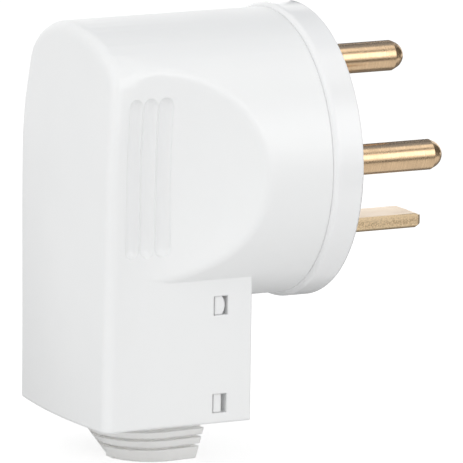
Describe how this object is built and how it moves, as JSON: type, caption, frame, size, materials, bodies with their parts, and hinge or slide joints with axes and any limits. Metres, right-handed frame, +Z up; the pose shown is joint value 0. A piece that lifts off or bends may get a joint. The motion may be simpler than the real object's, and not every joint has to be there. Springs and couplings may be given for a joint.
{
  "type": "right-angle earthed plug",
  "caption": "Right-angle earthed mains plug: round flanged face with brass pins and a flat earth blade, finger coves with grip grooves, and a stepped cord boot.",
  "frame": {"origin": "centre of the flange's flat face, which meets the socket", "axes": "+X out along the pins, +Z up, the cord leaves along -Z, and the side pin is on the -Y side"},
  "size_m": [0.062, 0.046, 0.0698],
  "materials": {
    "case_plastic": "satin moulded white thermoplastic",
    "flange_plastic": "glossier moulded white thermoplastic",
    "boot_pvc": "soft warm-white PVC",
    "pin_brass": "turned brass",
    "blade_brass": "blanked brass strip with rough sheared edges",
    "screw_steel": "zinc-plated steel",
    "inner_plastic": "moulded white thermoplastic"
  },
  "bodies": {
    "root": {"housing": "case_plastic", "pin_base": "flange_plastic", "cable_cover": "case_plastic", "cable_boot": "boot_pvc", "top_pin": "pin_brass", "side_pin": "pin_brass", "earth_blade": "blade_brass", "top_terminal_screw": "screw_steel", "side_terminal_screw": "screw_steel", "earth_screw": "screw_steel", "top_wire_plate": "screw_steel", "side_wire_plate": "screw_steel", "earth_washer": "screw_steel", "pin_retainer": "inner_plastic", "retainer_screw_a": "screw_steel", "retainer_screw_b": "screw_steel", "case_screw_upper": "screw_steel", "case_screw_lower": "screw_steel", "case_insert_upper": "pin_brass", "case_insert_lower": "pin_brass", "cord_clamp": "inner_plastic", "clamp_screw_left": "screw_steel", "clamp_screw_right": "screw_steel", "clamp_insert_left": "pin_brass", "clamp_insert_right": "pin_brass"}
  },
  "joints": []
}
